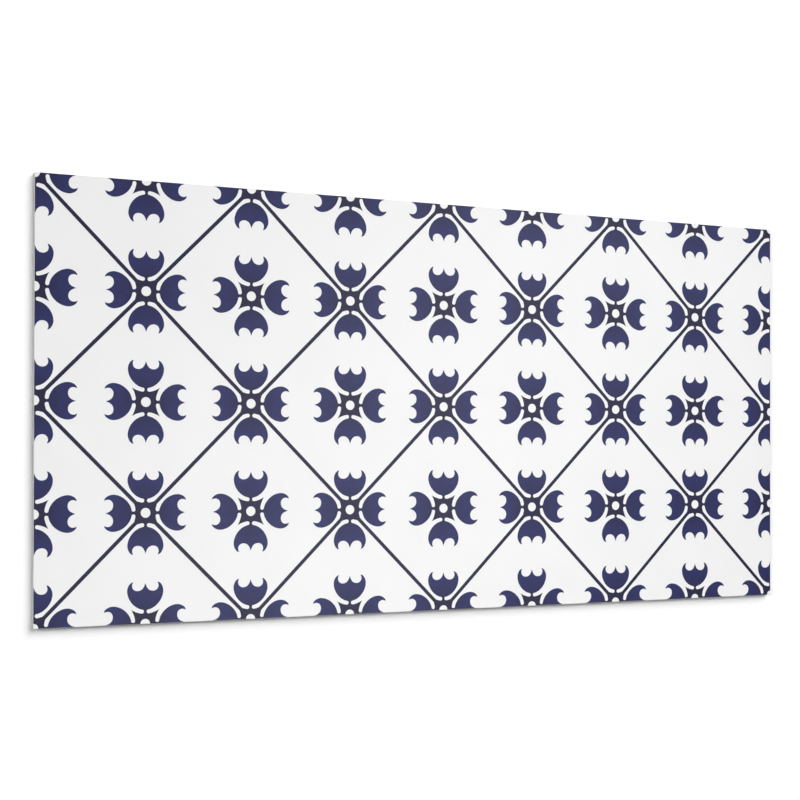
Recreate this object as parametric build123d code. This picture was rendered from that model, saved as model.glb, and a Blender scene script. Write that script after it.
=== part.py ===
from build123d import *
import os

# A printed wall panel: one square-cut sheet of white foamed PVC that sticks flat to a wall.
# It lies on its back, printed face up. The origin is the centre of the back.

# Driving dimensions, in millimetres
panel_length = 600.0  # along X
panel_width = 300.0  # along Y
panel_thickness = 5.0  # along Z, from the back to the printed face
corner_radius = 0.5  # easing of the cut corners, seen from the front
face_edge_radius = 0.1  # round on the sharp edge of the printed face


def wall_panel():
    """The whole sheet: square edges, a sharp back edge and a lightly rounded face edge."""
    with BuildPart() as sheet:
        with BuildSketch():
            RectangleRounded(panel_length, panel_width, corner_radius)
        extrude(amount=panel_thickness)
        printed_face = sheet.faces().sort_by(Axis.Z)[-1]
        fillet(printed_face.edges(), radius=face_edge_radius)
    return sheet.part


os.makedirs("parts", exist_ok=True)
export_step(wall_panel(), "parts/wall_panel.step")
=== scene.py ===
import math

import bmesh
import bpy
from bpy.props import FloatProperty, FloatVectorProperty, IntProperty, PointerProperty
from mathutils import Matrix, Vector
from mathutils.geometry import delaunay_2d_cdt, interpolate_bezier


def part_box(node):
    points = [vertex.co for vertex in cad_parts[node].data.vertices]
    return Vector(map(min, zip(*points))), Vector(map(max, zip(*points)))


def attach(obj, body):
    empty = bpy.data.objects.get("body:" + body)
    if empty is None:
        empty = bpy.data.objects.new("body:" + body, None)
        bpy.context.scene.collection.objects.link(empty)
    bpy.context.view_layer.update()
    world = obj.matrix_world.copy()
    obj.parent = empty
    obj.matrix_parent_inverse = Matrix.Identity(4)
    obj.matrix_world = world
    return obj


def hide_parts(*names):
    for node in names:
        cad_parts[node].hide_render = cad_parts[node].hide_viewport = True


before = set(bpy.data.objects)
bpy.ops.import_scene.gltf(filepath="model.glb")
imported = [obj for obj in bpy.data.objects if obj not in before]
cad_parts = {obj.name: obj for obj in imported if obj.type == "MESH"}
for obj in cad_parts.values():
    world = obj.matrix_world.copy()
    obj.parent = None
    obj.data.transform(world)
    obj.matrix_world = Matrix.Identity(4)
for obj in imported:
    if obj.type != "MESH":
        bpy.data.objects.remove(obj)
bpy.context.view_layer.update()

bl_info = {
    "name": "Printed wall panel",
    "version": (1, 0, 0),
    "blender": (4, 5, 0),
    "location": "3D View > Sidebar > Wall panel",
    "description": "Builds a stick-on wall panel, its tulip and trellis print, and a studio round it",
    "category": "Add Mesh",
}

SHEET_LOW, SHEET_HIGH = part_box("wall_panel")
SHEET_SIZE = SHEET_HIGH - SHEET_LOW
MM = 0.001
QUARTERS = 4
FULL_TURN = 2 * math.pi
QUARTER_TURN = FULL_TURN / QUARTERS

# How finely the round outlines are drawn
CORNER_STEPS = 6
EDGE_STEPS = 4
CURVE_STEPS = 16
SLOT_STEPS = 10
DOT_STEPS = 48

# The cutter keeps whole faces, with extra edges only where a face has a hole
CUT_INTO_FACES = 4
CUT_PRECISION = 1e-8

# The collection of the panel's pieces
PIECES = "wall_panel_pieces"

# The ink films carry a flat layout of this name for their colour maps. The export draws
# its colour maps through a layout of this name
MAP_NAME = "OFBake"

# Order of the bare sheet's finishes
FACE_FINISH, CUT_FINISH, BACK_FINISH = range(3)

# Soft noise hardly leaves this range
NOISE_RANGE = (0.3, 0.7)
NOISE_DETAIL = 2.0

# Satin surface of the face and the ink
SATIN_SPECULAR = 0.25
STIPPLE_SIZE = 0.7 * MM
STIPPLE_DEPTH = 0.02 * MM
STIPPLE_STRENGTH = 0.25
FACE_ROUGHNESS = (0.42, 0.5)
INK_ROUGHNESS = (0.4, 0.48)

# White ground of the print
FACE_MOTTLE_SIZE = 40 * MM
FACE_MOTTLE = 0.01

# Density of the ink, the rows that the print head leaves, and the deeper tone at a tulip's foot
INK_MOTTLE_SIZE = 5 * MM
INK_MOTTLE = 0.08
ROWS_PER_METRE = (8.0, 900.0, 8.0)
ROW_SHARE = 0.3
ROW_TONE = 1.25
FOOT_SHARE = 0.5

# Cells of the foamed core, with painted shade in their pits, and the streaks that the cutter leaves
CELL_SIZE = 0.35 * MM
CELL_RANGE = (0.1, 0.5)
CELL_PIT_SHADE = 0.88
CELL_DEPTH = 0.06 * MM
CELL_STRENGTH = 0.5
STREAKS_PER_METRE = (12.0, 12.0, 2600.0)
STREAK_DETAIL = 3.0
STREAK_SHARE = 0.5
STREAK_TONE = 0.9
CUT_ROUGHNESS = (0.6, 0.75)

# Fibre and mottling of the back
FIBRES_PER_METRE = (150.0, 900.0, 150.0)
FIBRE_DETAIL = 4.0
FIBRE_SHARE = 0.35
FIBRE_TONE = 0.92
FIBRE_DEPTH = 0.02 * MM
FIBRE_STRENGTH = 0.3
BACK_MOTTLE_SIZE = 25 * MM
BACK_MOTTLE = 0.02
BACK_ROUGHNESS = (0.48, 0.6)

# Studio: the floor lies just under the back, and the dome glows a little past pure white
FLOOR_GAP = 0.05 * MM
DOME_SEGMENTS = 64
DOME_RINGS = 32
DOME_GLOW = 1.1
WHITE = (1.0, 1.0, 1.0, 1.0)
BLACK = (0.0, 0.0, 0.0, 1.0)


def length_property(name, description, default):
    return FloatProperty(
        name=name, description=description, default=default, min=0.0, unit="LENGTH", precision=5
    )


def point_property(name, description, default):
    return FloatVectorProperty(
        name=name, description=description, default=default, size=2, unit="LENGTH", precision=5
    )


def place_property(name, description, default):
    return FloatVectorProperty(
        name=name, description=description, default=default, size=3, subtype="TRANSLATION", unit="LENGTH"
    )


def angle_property(name, description, degrees):
    return FloatProperty(
        name=name, description=description, default=math.radians(degrees), subtype="ANGLE"
    )


def power_property(name, description, default):
    return FloatProperty(name=name, description=description, default=default, min=0.0, unit="POWER")


def strength_property(name, description, default):
    return FloatProperty(name=name, description=description, default=default, min=0.0)


def colour_property(name, description, default):
    return FloatVectorProperty(
        name=name, description=description, default=default, size=3, min=0.0, max=1.0, subtype="COLOR"
    )


class SheetSettings(bpy.types.PropertyGroup):
    """Sizes and colours of the bare sheet"""

    length: length_property("Length", "Long side of the panel", SHEET_SIZE.x)
    width: length_property("Width", "Short side of the panel", SHEET_SIZE.y)
    thickness: length_property("Thickness", "From the back to the top of the ink", SHEET_SIZE.z)
    corner_radius: length_property("Corner radius", "Easing of the cut corners", 0.5 * MM)
    face_edge_radius: length_property("Face edge", "Round on the edge of the face", 0.1 * MM)
    face_colour: colour_property("Face", "White ground of the print", (0.733, 0.733, 0.732))
    # Greyer than the white foam really is: partly the foam's own tone, partly painted shade
    cut_and_shade_colour: colour_property("Cut edge", "Foamed core where it is cut", (0.57, 0.57, 0.566))
    back_colour: colour_property("Back", "Plain adhesive back", (0.78, 0.77, 0.74))


class TulipSettings(bpy.types.PropertyGroup):
    """Half outline of a tulip head: across from its axis, and out from the flower's centre"""

    base: length_property("Base", "Out to the foot of the cup", 9.4 * MM)
    widest: point_property("Widest point", "Where the cup is widest", (12.5 * MM, 22.3 * MM))
    horn_tip: point_property("Horn tip", "Tip of the outer petal", (8.4 * MM, 28.2 * MM))
    scallop: point_property("Scallop", "Deepest point between petals", (5.4 * MM, 22.25 * MM))
    spike: length_property("Spike", "Out to the tip of the middle petal", 27.6 * MM)
    base_pull: length_property("Base pull", "Curve handle across from the base", 6.65 * MM)
    cup_pull: length_property("Cup pull", "Curve handle below the widest point", 6.4 * MM)
    shoulder_pull: length_property("Shoulder pull", "Handle above the widest point", 2.85 * MM)
    horn_outer_pull: point_property("Outer pull", "Handle outside the horn", (2.0 * MM, 0.3 * MM))
    horn_inner_pull: point_property("Inner pull", "Handle inside the horn", (1.8 * MM, -2.7 * MM))
    scallop_outer_pull: length_property("Scallop outer pull", "Handle towards the horn", 3.2 * MM)
    scallop_inner_pull: length_property("Scallop inner pull", "Handle towards the spike", 3.65 * MM)
    spike_pull: point_property("Spike pull", "Handle beside the spike", (0.75 * MM, -2.45 * MM))


class PrintSettings(bpy.types.PropertyGroup):
    """Layout, sizes and inks of the print"""

    columns: IntProperty(name="Columns", description="Flower pitches along the panel", default=8, min=1)
    rows: IntProperty(name="Rows", description="Flower pitches across the panel", default=4, min=1)
    ink_thickness: length_property("Ink", "Thickness of the ink film", 0.05 * MM)
    dot_radius: length_property("Dot", "White dot in the middle of a star", 3.36 * MM)
    star_waist: length_property("Star waist", "From the centre to the middle of a side", 6.83 * MM)
    star_corner: length_property("Star corner", "Across and out to a point of the star", 9.75 * MM)
    slot_end: point_property("Slot end", "Centre of the round end of a white slot", (2.3 * MM, 8.35 * MM))
    slot_radius: length_property("Slot radius", "Round end of a white slot", 1.38 * MM)
    trellis_width: length_property("Trellis", "Width of the diagonal lines", 2.6 * MM)
    tulip_ink: colour_property("Tulip ink", "Navy of the tulip heads", (0.0192, 0.0217, 0.0838))
    trellis_ink: colour_property("Trellis ink", "Dark navy of stars and lines", (0.0144, 0.0133, 0.0384))


class StageSettings(bpy.types.PropertyGroup):
    """Camera, light and floor"""

    eye: place_property("Eye", "Camera, from the middle of the printed face", (-0.49737, -0.03435, 0.99953))
    turn: FloatVectorProperty(
        name="Turn",
        description="Camera rotation, from looking straight down",
        default=(math.radians(0.3994), math.radians(-24.8013), math.radians(0.1067)),
        subtype="EULER",
        unit="ROTATION",
    )
    lens: FloatProperty(name="Lens", description="Focal length", default=67.94, unit="CAMERA")
    shift: FloatProperty(name="Shift", description="Upward lens shift", default=0.05183)
    floor_size: length_property("Floor", "Side of the square floor", 60.0)
    floor_colour: colour_property("Floor colour", "Pale floor", (0.97, 0.97, 0.97))
    backdrop_radius: length_property("Backdrop", "Radius of the white dome round the floor", 25.0)
    fill: strength_property("Fill", "Even light from all round", 0.15)
    key_strength: strength_property("Key", "Light that casts the main shadow", 3.06)
    key_height: angle_property("Key height", "Above the floor", 45.5)
    key_bearing: angle_property("Key bearing", "From +X towards +Y", 55.0)
    key_softness: angle_property("Key softness", "Angle that the key spans", 52.0)
    side_strength: strength_property("Side", "Weaker light from the left", 1.1)
    side_height: angle_property("Side height", "Above the floor", 35.7)
    side_bearing: angle_property("Side bearing", "From +X towards +Y", 163.6)
    side_softness: angle_property("Side softness", "Angle that the side light spans", 17.0)
    strip_turn: angle_property("Strip turn", "Of both strips above the panel", -38.0)
    sheen_place: place_property("Sheen place", "Strip that the satin mirrors", (0.31, 0.02, 0.75))
    sheen_size: point_property("Sheen size", "Strip that the satin mirrors", (0.29, 1.05))
    sheen_power: power_property("Sheen power", "Strip that the satin mirrors", 3.2)
    pool_place: place_property("Pool place", "Strip that brightens the face", (0.05, -0.09, 0.52))
    pool_size: point_property("Pool size", "Strip that brightens the face", (0.15, 0.95))
    pool_power: power_property("Pool power", "Strip that brightens the face", 0.74)
    front_distance: length_property("Front distance", "Out to the strip that lights the front edge", 1.15)
    front_power: power_property("Front power", "Strip that lights the front edge", 1.8)


def arc(centre, radius, start, end, steps):
    """Points along an arc between two angles, both ends included."""
    points = []
    for step in range(steps + 1):
        angle = start + (end - start) * step / steps
        points.append(Vector((centre[0] + radius * math.cos(angle), centre[1] + radius * math.sin(angle))))
    return points


def mirrored(points):
    """The same points on the other side of the Y axis, in reverse order."""
    return [Vector((-point.x, point.y)) for point in reversed(points)]


def placed(points, centre, quarter_turns=0):
    """Points turned about the flower's centre and moved to it."""
    turned = points
    for _ in range(quarter_turns):
        turned = [Vector((-point.y, point.x)) for point in turned]
    return [point + centre for point in turned]


def sheet_outline(sheet, inset):
    """The panel's rounded oblong, drawn in by an inset."""
    radius = sheet.corner_radius - inset
    across = sheet.length / 2 - sheet.corner_radius
    up = sheet.width / 2 - sheet.corner_radius
    corners = ((across, up), (-across, up), (-across, -up), (across, -up))
    points = []
    for turn, corner in enumerate(corners):
        start = turn * QUARTER_TURN
        points += arc(corner, radius, start, start + QUARTER_TURN, CORNER_STEPS)
    return points


def print_area(sheet):
    """The flat of the face, inside its rounded edge."""
    return sheet_outline(sheet, sheet.face_edge_radius)


def tulip_outline(tulip):
    """One tulip head that points along +Y, with the flower's centre at the origin."""
    base = Vector((0.0, tulip.base))
    widest = Vector(tulip.widest)
    horn = Vector(tulip.horn_tip)
    scallop = Vector(tulip.scallop)
    spike = Vector((0.0, tulip.spike))
    across = Vector((1.0, 0.0))
    out = Vector((0.0, 1.0))
    spans = (
        (base, base + across * tulip.base_pull, widest - out * tulip.cup_pull, widest),
        (widest, widest + out * tulip.shoulder_pull, horn + Vector(tulip.horn_outer_pull), horn),
        (horn, horn + Vector(tulip.horn_inner_pull), scallop + across * tulip.scallop_outer_pull, scallop),
        (scallop, scallop - across * tulip.scallop_inner_pull, spike + Vector(tulip.spike_pull), spike),
    )
    right = [base]
    for span in spans:
        right += interpolate_bezier(*span, CURVE_STEPS)[1:]
    return right + mirrored(right[1:-1])


def star_outline(design):
    """A star with four hollow sides, and the necks that join it to its tulips."""
    corner = design.star_corner
    sag = corner - design.star_waist
    radius = (corner**2 + sag**2) / (2 * sag)
    centre = (0.0, design.star_waist + radius)
    slot_end = Vector(design.slot_end)
    at_corner = -QUARTER_TURN + math.asin(corner / radius)
    at_slot = -QUARTER_TURN + math.asin(slot_end.x / radius)
    half_side = arc(centre, radius, at_corner, at_slot, CURVE_STEPS)[:-1]
    half_side += arc(slot_end, design.slot_radius, -QUARTER_TURN, -3 * QUARTER_TURN, SLOT_STEPS)
    side = half_side + mirrored(half_side)[:-1]
    middle = Vector((0.0, 0.0))
    return [point for turn in range(QUARTERS) for point in placed(side, middle, turn)]


def flower_centres(sheet, design):
    """Every flower's centre, on a square grid that starts and ends on the panel's edges."""
    for column in range(design.columns + 1):
        for row in range(design.rows + 1):
            yield Vector((
                sheet.length * (column / design.columns - 0.5),
                sheet.width * (row / design.rows - 0.5),
            ))


def tulip_shapes(sheet, design, tulip):
    """Four tulip heads round every flower's centre, without those that fall off the panel."""
    outline = tulip_outline(tulip)
    shapes = []
    for centre in flower_centres(sheet, design):
        for turn in range(QUARTERS):
            shape = placed(outline, centre, turn)
            if any(abs(point.x) < sheet.length / 2 and abs(point.y) < sheet.width / 2 for point in shape):
                shapes.append(shape)
    return shapes


def star_shapes(sheet, design):
    """A star in the middle of every flower."""
    outline = star_outline(design)
    return [placed(outline, centre) for centre in flower_centres(sheet, design)]


def dot_shapes(sheet, design):
    """A round dot in the middle of every star."""
    circle = arc((0.0, 0.0), design.dot_radius, 0.0, FULL_TURN, DOT_STEPS)[:-1]
    return [placed(circle, centre) for centre in flower_centres(sheet, design)]


def trellis_shapes(sheet, design):
    """Strips along both diagonals, through every second flower, from one row off the panel to another."""
    pitch = Vector((sheet.length / design.columns, sheet.width / design.rows))
    corner = Vector((-sheet.length / 2, -sheet.width / 2))
    strips = []
    for rise in (1, -1):
        start_row = -1 if rise > 0 else design.rows + 1
        run = Vector((pitch.x, rise * pitch.y)) * (design.rows + 2)
        half = Vector((-run.y, run.x)).normalized() * design.trellis_width / 2
        for column in range(1 - design.rows, design.columns - 1, 2):
            start = corner + Vector((column * pitch.x, start_row * pitch.y))
            strips.append([start - half, start + run - half, start + run + half, start + half])
    return strips


def cut_out(area, keep, drop=()):
    """Points and faces of what lies inside the area and a kept outline, outside all dropped ones."""
    points, loops = [], []
    for outline in (area, *keep, *drop):
        loops.append(range(len(points), len(points) + len(outline)))
        points += outline
    cut_points, _, faces, _, _, sources = delaunay_2d_cdt(
        points, [], loops, CUT_INTO_FACES, CUT_PRECISION
    )
    first_dropped = 1 + len(keep)
    kept = []
    for face, inside in zip(faces, sources):
        on_area = 0 in inside
        on_kept = any(0 < shape < first_dropped for shape in inside)
        on_dropped = any(shape >= first_dropped for shape in inside)
        if on_area and on_kept and not on_dropped:
            kept.append(face)
    if not kept:
        raise RuntimeError("the print has no shape left on the panel")
    return cut_points, kept


def panel_pieces():
    """The collection that holds the panel's own pieces."""
    pieces = bpy.data.collections.get(PIECES)
    if pieces is None:
        pieces = bpy.data.collections.new(PIECES)
        bpy.context.scene.collection.children.link(pieces)
    return pieces


def new_piece(name, mesh_maker, materials):
    """Turns a filled bmesh into a piece that rides on the panel's one body."""
    mesh = bpy.data.meshes.new(name)
    mesh_maker.to_mesh(mesh)
    mesh_maker.free()
    for material in materials:
        mesh.materials.append(material)
    piece = bpy.data.objects.new(name, mesh)
    panel_pieces().objects.link(piece)
    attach(piece, "root")
    return piece


def edge_levels(sheet, face_height):
    """Inset and height of each ring of the sheet, from the back up over the rounded face edge."""
    radius = sheet.face_edge_radius
    levels = [(0.0, 0.0)]
    for step in range(EDGE_STEPS + 1):
        angle = QUARTER_TURN * step / EDGE_STEPS
        inset = radius - radius * math.cos(angle)
        levels.append((inset, face_height - radius + radius * math.sin(angle)))
    return levels


def sheet_body(sheet, face_height):
    """The closed sheet, with a finish each for its face, its cut edges and its back."""
    body = bmesh.new()
    rings = []
    for inset, height in edge_levels(sheet, face_height):
        rings.append([body.verts.new((*point, height)) for point in sheet_outline(sheet, inset)])
    face = body.faces.new(rings[-1])
    face.material_index = FACE_FINISH
    back = body.faces.new(reversed(rings[0]))
    back.material_index = BACK_FINISH
    for lower, upper in zip(rings, rings[1:]):
        for index in range(len(lower)):
            side = body.faces.new((lower[index - 1], lower[index], upper[index], upper[index - 1]))
            side.material_index = CUT_FINISH
            side.smooth = True
    for edge in (*face.edges, *back.edges):
        edge.smooth = False
    return body


def ink_film(name, sheet, design, cut, material):
    """A thin closed film of ink on the face, with the cut faces as its top."""
    points, faces = cut
    film = bmesh.new()
    used = sorted({index for face in faces for index in face})
    corners = {index: film.verts.new((*points[index], sheet.thickness)) for index in used}
    for face in faces:
        film.faces.new([corners[index] for index in face])
    film.normal_update()
    bmesh.ops.solidify(film, geom=film.faces[:], thickness=design.ink_thickness)
    bmesh.ops.recalc_face_normals(film, faces=film.faces[:])
    layout = film.loops.layers.uv.new(MAP_NAME)
    for face in film.faces:
        for loop in face.loops:
            place = loop.vert.co
            loop[layout].uv = (place.x / sheet.length + 0.5, place.y / sheet.width + 0.5)
    return new_piece(name, film, [material])


def new_material(name):
    """An empty material and its shader."""
    material = bpy.data.materials.new(name)
    material.use_nodes = True
    return material, material.node_tree.nodes["Principled BSDF"]


def new_surface(name):
    """A procedural material: itself, its node tree, its shader and the place on the panel."""
    material, shader = new_material(name)
    tree = material.node_tree
    place = tree.nodes.new("ShaderNodeTexCoord").outputs["Object"]
    return material, tree, shader, place


def stretched(tree, place, scale):
    """The same place, counted faster along the axes with the larger scale."""
    mapping = tree.nodes.new("ShaderNodeMapping")
    mapping.inputs["Scale"].default_value = scale
    tree.links.new(place, mapping.inputs["Vector"])
    return mapping.outputs["Vector"]


def clouds(tree, place, size=1.0, detail=NOISE_DETAIL):
    """Soft random patches of about the given size."""
    noise = tree.nodes.new("ShaderNodeTexNoise")
    noise.inputs["Scale"].default_value = 1.0 / size
    noise.inputs["Detail"].default_value = detail
    tree.links.new(place, noise.inputs["Vector"])
    return noise.outputs["Fac"]


def ranged(tree, value, wanted=(0.0, 1.0), given=NOISE_RANGE):
    """The value, spread from the given range over the wanted one."""
    spread = tree.nodes.new("ShaderNodeMapRange")
    spread.inputs["From Min"].default_value, spread.inputs["From Max"].default_value = given
    spread.inputs["To Min"].default_value, spread.inputs["To Max"].default_value = wanted
    tree.links.new(value, spread.inputs["Value"])
    return spread.outputs["Result"]


def blended(tree, share, first, second):
    """A colour between two, each a plain colour or a node's output."""
    mix = tree.nodes.new("ShaderNodeMix")
    mix.data_type = "RGBA"
    tree.links.new(share, mix.inputs["Factor"])
    for socket, colour in ((mix.inputs["A"], first), (mix.inputs["B"], second)):
        if isinstance(colour, bpy.types.NodeSocket):
            tree.links.new(colour, socket)
        else:
            socket.default_value = (*colour, 1.0)
    return mix.outputs["Result"]


def shade(colour, amount):
    """The colour made lighter or darker by a share of itself."""
    return tuple(min(1.0, channel * amount) for channel in colour)


def mottled(tree, place, colour, size, amount):
    """The colour in soft patches, each a little lighter or darker."""
    patches = ranged(tree, clouds(tree, place, size))
    return blended(tree, patches, shade(colour, 1.0 - amount), shade(colour, 1.0 + amount))


def relief(tree, shader, height, depth, strength):
    """Fine bumps of the given depth."""
    bump = tree.nodes.new("ShaderNodeBump")
    bump.inputs["Distance"].default_value = depth
    bump.inputs["Strength"].default_value = strength
    tree.links.new(height, bump.inputs["Height"])
    tree.links.new(bump.outputs["Normal"], shader.inputs["Normal"])


def satin(tree, shader, place, roughness):
    """Satin gloss with a fine stipple, the same on the bare face and on the ink."""
    stipple = clouds(tree, place, STIPPLE_SIZE)
    tree.links.new(ranged(tree, stipple, roughness), shader.inputs["Roughness"])
    shader.inputs["Specular IOR Level"].default_value = SATIN_SPECULAR
    relief(tree, shader, stipple, STIPPLE_DEPTH, STIPPLE_STRENGTH)


def satin_face(colour):
    """White ground of the print, with faint mottling."""
    material, tree, shader, place = new_surface("satin_white_face")
    tone = mottled(tree, place, colour, FACE_MOTTLE_SIZE, FACE_MOTTLE)
    tree.links.new(tone, shader.inputs["Base Color"])
    satin(tree, shader, place, FACE_ROUGHNESS)
    return material


def ink_tone(tree, place, colour):
    """Solid ink: a little uneven in density, with faint rows from the print head."""
    rows = ranged(tree, clouds(tree, stretched(tree, place, ROWS_PER_METRE)), (0.0, ROW_SHARE))
    solid = mottled(tree, place, colour, INK_MOTTLE_SIZE, INK_MOTTLE)
    return blended(tree, rows, solid, shade(colour, ROW_TONE))


def dark_ink(name, design):
    """Ink of the stars and the trellis."""
    material, tree, shader, place = new_surface(name)
    tree.links.new(ink_tone(tree, place, design.trellis_ink), shader.inputs["Base Color"])
    satin(tree, shader, place, INK_ROUGHNESS)
    return material


def worked_out(tree, operation, place, *values):
    """A sum on a place, with fixed values as its other terms."""
    node = tree.nodes.new("ShaderNodeVectorMath")
    node.operation = operation
    tree.links.new(place, node.inputs[0])
    for socket, value in zip(node.inputs[1:], values):
        socket.default_value = value
    return node


def flower_distance(tree, place, sheet, design):
    """How far a point of the face lies from the nearest flower's centre."""
    pitch = Vector((sheet.length / design.columns, sheet.width / design.rows, 0.0))
    corner = Vector((sheet.length / 2, sheet.width / 2, 0.0))
    moved = worked_out(tree, "ADD", place, corner + pitch / 2)
    wrapped = worked_out(tree, "WRAP", moved.outputs["Vector"], pitch, Vector())
    distance = worked_out(tree, "DISTANCE", wrapped.outputs["Vector"], pitch / 2)
    return distance.outputs["Value"]


def navy_ink(sheet, design, tulip):
    """Ink of the tulips, which deepens towards the foot of each cup."""
    material, tree, shader, place = new_surface("navy_tulip_ink")
    cup = (tulip.base, Vector(tulip.scallop).y)
    share = ranged(tree, flower_distance(tree, place, sheet, design), (FOOT_SHARE, 1.0), cup)
    tone = blended(tree, share, design.trellis_ink, ink_tone(tree, place, design.tulip_ink))
    tree.links.new(tone, shader.inputs["Base Color"])
    satin(tree, shader, place, INK_ROUGHNESS)
    return material


def foam_cut(colour):
    """Cut edge of the foamed core, in a grey that is partly the foam's tone and partly painted shade: fine
    closed cells with painted shade in their pits, and the streaks that the cutter leaves.
    """
    material, tree, shader, place = new_surface("foam_cut_edge")
    cells = tree.nodes.new("ShaderNodeTexVoronoi")
    cells.inputs["Scale"].default_value = 1.0 / CELL_SIZE
    tree.links.new(place, cells.inputs["Vector"])
    pits = ranged(tree, cells.outputs["Distance"], given=CELL_RANGE)
    streaks = clouds(tree, stretched(tree, place, STREAKS_PER_METRE), detail=STREAK_DETAIL)
    # The pits are drawn darker than the cell walls: painted shade in the cell hollows
    core = blended(tree, pits, shade(colour, CELL_PIT_SHADE), colour)
    streaked = blended(tree, ranged(tree, streaks, (0.0, STREAK_SHARE)), core, shade(colour, STREAK_TONE))
    tree.links.new(streaked, shader.inputs["Base Color"])
    tree.links.new(ranged(tree, streaks, CUT_ROUGHNESS), shader.inputs["Roughness"])
    relief(tree, shader, pits, CELL_DEPTH, CELL_STRENGTH)
    return material


def plain_back(colour):
    """Plain back: pale and smooth, with a faint fibre."""
    material, tree, shader, place = new_surface("plain_back")
    fibre = clouds(tree, stretched(tree, place, FIBRES_PER_METRE), detail=FIBRE_DETAIL)
    tone = mottled(tree, place, colour, BACK_MOTTLE_SIZE, BACK_MOTTLE)
    fibrous = blended(tree, ranged(tree, fibre, (0.0, FIBRE_SHARE)), tone, shade(colour, FIBRE_TONE))
    tree.links.new(fibrous, shader.inputs["Base Color"])
    tree.links.new(ranged(tree, fibre, BACK_ROUGHNESS), shader.inputs["Roughness"])
    relief(tree, shader, fibre, FIBRE_DEPTH, FIBRE_STRENGTH)
    return material


class WALLPANEL_OT_sheet(bpy.types.Operator):
    """Cut the bare sheet, with its white face, its foamed edges and its plain back"""

    bl_idname = "wall_panel.sheet"
    bl_label = "Cut the sheet"

    def execute(self, context):
        sheet = context.scene.wall_panel_sheet
        design = context.scene.wall_panel_print
        body = sheet_body(sheet, sheet.thickness - design.ink_thickness)
        finishes = [
            satin_face(sheet.face_colour),
            foam_cut(sheet.cut_and_shade_colour),
            plain_back(sheet.back_colour),
        ]
        piece = new_piece("panel_sheet", body, finishes)
        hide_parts("wall_panel")
        return {"FINISHED"}


class WALLPANEL_OT_tulips(bpy.types.Operator):
    """Print the navy tulip heads round every flower's centre"""

    bl_idname = "wall_panel.tulips"
    bl_label = "Print the tulips"

    def execute(self, context):
        sheet = context.scene.wall_panel_sheet
        design = context.scene.wall_panel_print
        tulip = context.scene.wall_panel_tulip
        cut = cut_out(print_area(sheet), tulip_shapes(sheet, design, tulip))
        ink_film("tulip_print", sheet, design, cut, navy_ink(sheet, design, tulip))
        return {"FINISHED"}


class WALLPANEL_OT_stars(bpy.types.Operator):
    """Print the dark stars in the middle of the flowers, with their white dots left bare"""

    bl_idname = "wall_panel.stars"
    bl_label = "Print the stars"

    def execute(self, context):
        sheet = context.scene.wall_panel_sheet
        design = context.scene.wall_panel_print
        tulips = tulip_shapes(sheet, design, context.scene.wall_panel_tulip)
        bare = tulips + dot_shapes(sheet, design)
        cut = cut_out(print_area(sheet), star_shapes(sheet, design), bare)
        ink_film("star_print", sheet, design, cut, dark_ink("dark_star_ink", design))
        return {"FINISHED"}


class WALLPANEL_OT_trellis(bpy.types.Operator):
    """Print the diagonal trellis lines between the stars"""

    bl_idname = "wall_panel.trellis"
    bl_label = "Print the trellis"

    def execute(self, context):
        sheet = context.scene.wall_panel_sheet
        design = context.scene.wall_panel_print
        cut = cut_out(print_area(sheet), trellis_shapes(sheet, design), star_shapes(sheet, design))
        ink_film("trellis_print", sheet, design, cut, dark_ink("dark_trellis_ink", design))
        return {"FINISHED"}


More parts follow.
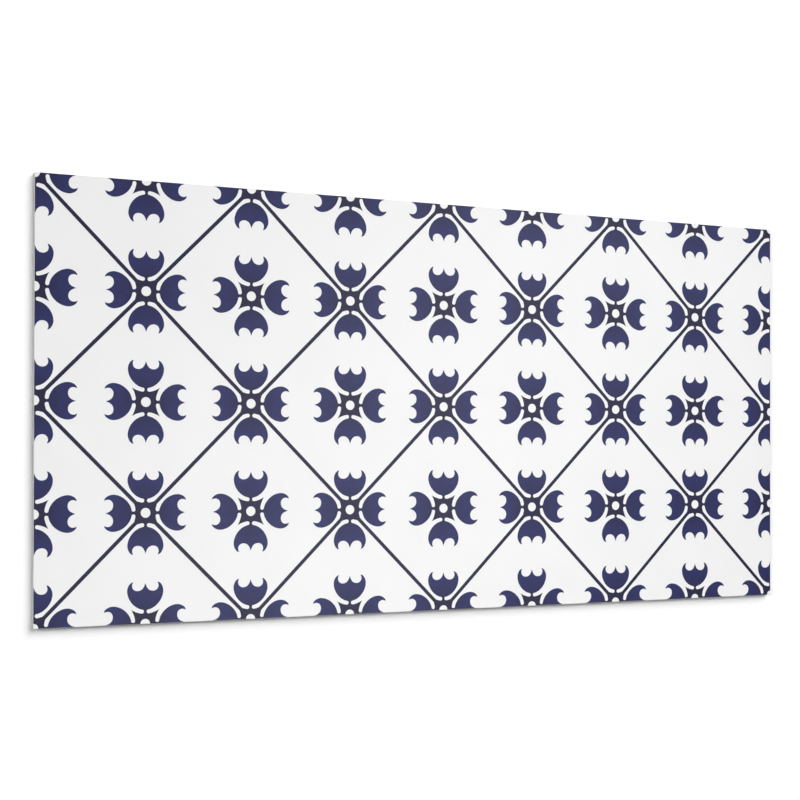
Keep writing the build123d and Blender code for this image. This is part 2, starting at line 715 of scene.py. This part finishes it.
class WALLPANEL_OT_stage(bpy.types.Operator):
    """Set up the floor, the lights and the camera"""

    bl_idname = "wall_panel.stage"
    bl_label = "Set up the studio"

    def execute(self, context):
        scene = context.scene
        stage = scene.wall_panel_stage
        sheet = scene.wall_panel_sheet
        self.lay_floor(scene, stage)
        self.raise_backdrop(scene, stage)
        self.hang_lights(scene, stage, sheet)
        self.place_camera(scene, stage, sheet)
        scene.view_settings.view_transform = "Standard"
        return {"FINISHED"}

    def lay_floor(self, scene, stage):
        half = stage.floor_size / 2
        corners = ((-half, -half), (half, -half), (half, half), (-half, half))
        mesh = bpy.data.meshes.new("floor")
        mesh.from_pydata([(*corner, -FLOOR_GAP) for corner in corners], [], [range(len(corners))])
        material, shader = new_material("pale_floor")
        shader.inputs["Base Color"].default_value = (*stage.floor_colour, 1.0)
        shader.inputs["Roughness"].default_value = 1.0
        shader.inputs["Specular IOR Level"].default_value = 0.0
        mesh.materials.append(material)
        floor = bpy.data.objects.new("floor", mesh)
        scene.collection.objects.link(floor)

    def raise_backdrop(self, scene, stage):
        """A white dome that the camera sees beyond the floor, and that casts no light of its own."""
        dome = bmesh.new()
        bmesh.ops.create_uvsphere(
            dome, u_segments=DOME_SEGMENTS, v_segments=DOME_RINGS, radius=stage.backdrop_radius
        )
        mesh = bpy.data.meshes.new("backdrop")
        dome.to_mesh(mesh)
        dome.free()
        material, shader = new_material("white_backdrop")
        shader.inputs["Base Color"].default_value = BLACK
        shader.inputs["Specular IOR Level"].default_value = 0.0
        shader.inputs["Emission Color"].default_value = WHITE
        shader.inputs["Emission Strength"].default_value = DOME_GLOW
        mesh.materials.append(material)
        backdrop = bpy.data.objects.new("backdrop", mesh)
        backdrop.visible_diffuse = False
        backdrop.visible_glossy = False
        backdrop.visible_shadow = False
        scene.collection.objects.link(backdrop)

    def hang_lights(self, scene, stage, sheet):
        world = bpy.data.worlds.new("studio")
        world.use_nodes = True
        background = world.node_tree.nodes["Background"]
        background.inputs["Color"].default_value = WHITE
        background.inputs["Strength"].default_value = stage.fill
        scene.world = world
        key = self.hang_sun(scene, "key", stage.key_strength, stage.key_softness)
        self.aim_sun(key, stage.key_height, stage.key_bearing)
        side = self.hang_sun(scene, "side", stage.side_strength, stage.side_softness)
        self.aim_sun(side, stage.side_height, stage.side_bearing)
        sheen = self.hang_strip(scene, "sheen", stage.sheen_size, stage.sheen_power)
        sheen.location = stage.sheen_place
        sheen.rotation_euler.z = stage.strip_turn
        sheen.visible_diffuse = False
        pool = self.hang_strip(scene, "pool", stage.pool_size, stage.pool_power)
        pool.location = stage.pool_place
        pool.rotation_euler.z = stage.strip_turn
        self.light_panel_alone(pool)
        # Level with the sheet, so that it lights the front edge and not the face
        front = self.hang_strip(scene, "front", (sheet.length, sheet.thickness), stage.front_power)
        front.location = (0.0, -stage.front_distance, sheet.thickness / 2)
        front.rotation_euler.x = QUARTER_TURN
        self.light_panel_alone(front)

    def hang_sun(self, scene, name, strength, softness):
        """A far light that lights the panel but isn't mirrored in its satin."""
        sun = bpy.data.lights.new(name, "SUN")
        sun.energy = strength
        sun.angle = softness
        lamp = bpy.data.objects.new(name, sun)
        lamp.visible_glossy = False
        scene.collection.objects.link(lamp)
        return lamp

    def aim_sun(self, lamp, height, bearing):
        """Turns a far light so that it shines from a height and a bearing."""
        level = math.cos(height)
        towards = Vector((level * math.cos(bearing), level * math.sin(bearing), math.sin(height)))
        lamp.rotation_euler = towards.to_track_quat("Z", "Y").to_euler()

    def hang_strip(self, scene, name, size, power):
        """A strip of light that the camera doesn't see. It shines straight down until it is turned."""
        strip = bpy.data.lights.new(name, "AREA")
        strip.shape = "RECTANGLE"
        strip.size, strip.size_y = size
        strip.energy = power
        lamp = bpy.data.objects.new(name, strip)
        lamp.visible_camera = False
        scene.collection.objects.link(lamp)
        return lamp

    def light_panel_alone(self, lamp):
        """Keeps a strip's light off the floor, and the strip out of the satin's mirror image."""
        lamp.visible_glossy = False
        lamp.light_linking.receiver_collection = panel_pieces()

    def place_camera(self, scene, stage, sheet):
        view = bpy.data.cameras.new("camera")
        view.lens = stage.lens
        view.shift_y = stage.shift
        camera = bpy.data.objects.new("camera", view)
        camera.location = Vector(stage.eye) + Vector((0.0, 0.0, sheet.thickness))
        camera.rotation_euler = stage.turn
        scene.collection.objects.link(camera)
        scene.camera = camera


class WALLPANEL_PT_sidebar(bpy.types.Panel):
    """Settings and building steps of the wall panel"""

    bl_idname = "WALLPANEL_PT_sidebar"
    bl_label = "Wall panel"
    bl_space_type = "VIEW_3D"
    bl_region_type = "UI"
    bl_category = "Wall panel"

    def draw(self, context):
        for heading, group, operators in SECTIONS:
            section = self.layout.box()
            section.label(text=heading)
            settings = getattr(context.scene, group)
            for name in type(settings).__annotations__:
                section.prop(settings, name)
            for operator in operators:
                section.operator(operator.bl_idname)


GROUPS = {
    "wall_panel_sheet": SheetSettings,
    "wall_panel_tulip": TulipSettings,
    "wall_panel_print": PrintSettings,
    "wall_panel_stage": StageSettings,
}
OPERATORS = (
    WALLPANEL_OT_sheet,
    WALLPANEL_OT_tulips,
    WALLPANEL_OT_stars,
    WALLPANEL_OT_trellis,
    WALLPANEL_OT_stage,
)
SECTIONS = (
    ("Sheet", "wall_panel_sheet", (WALLPANEL_OT_sheet,)),
    ("Tulip", "wall_panel_tulip", (WALLPANEL_OT_tulips,)),
    ("Print", "wall_panel_print", (WALLPANEL_OT_stars, WALLPANEL_OT_trellis)),
    ("Studio", "wall_panel_stage", (WALLPANEL_OT_stage,)),
)
CLASSES = (*GROUPS.values(), *OPERATORS, WALLPANEL_PT_sidebar)


def register():
    for item in CLASSES:
        bpy.utils.register_class(item)
    for name, group in GROUPS.items():
        setattr(bpy.types.Scene, name, PointerProperty(type=group))


def unregister():
    for name in GROUPS:
        delattr(bpy.types.Scene, name)
    for item in reversed(CLASSES):
        bpy.utils.unregister_class(item)


def main():
    register()
    bpy.ops.wall_panel.sheet()
    bpy.ops.wall_panel.tulips()
    bpy.ops.wall_panel.stars()
    bpy.ops.wall_panel.trellis()
    bpy.ops.wall_panel.stage()


if __name__ == "__main__":
    main()
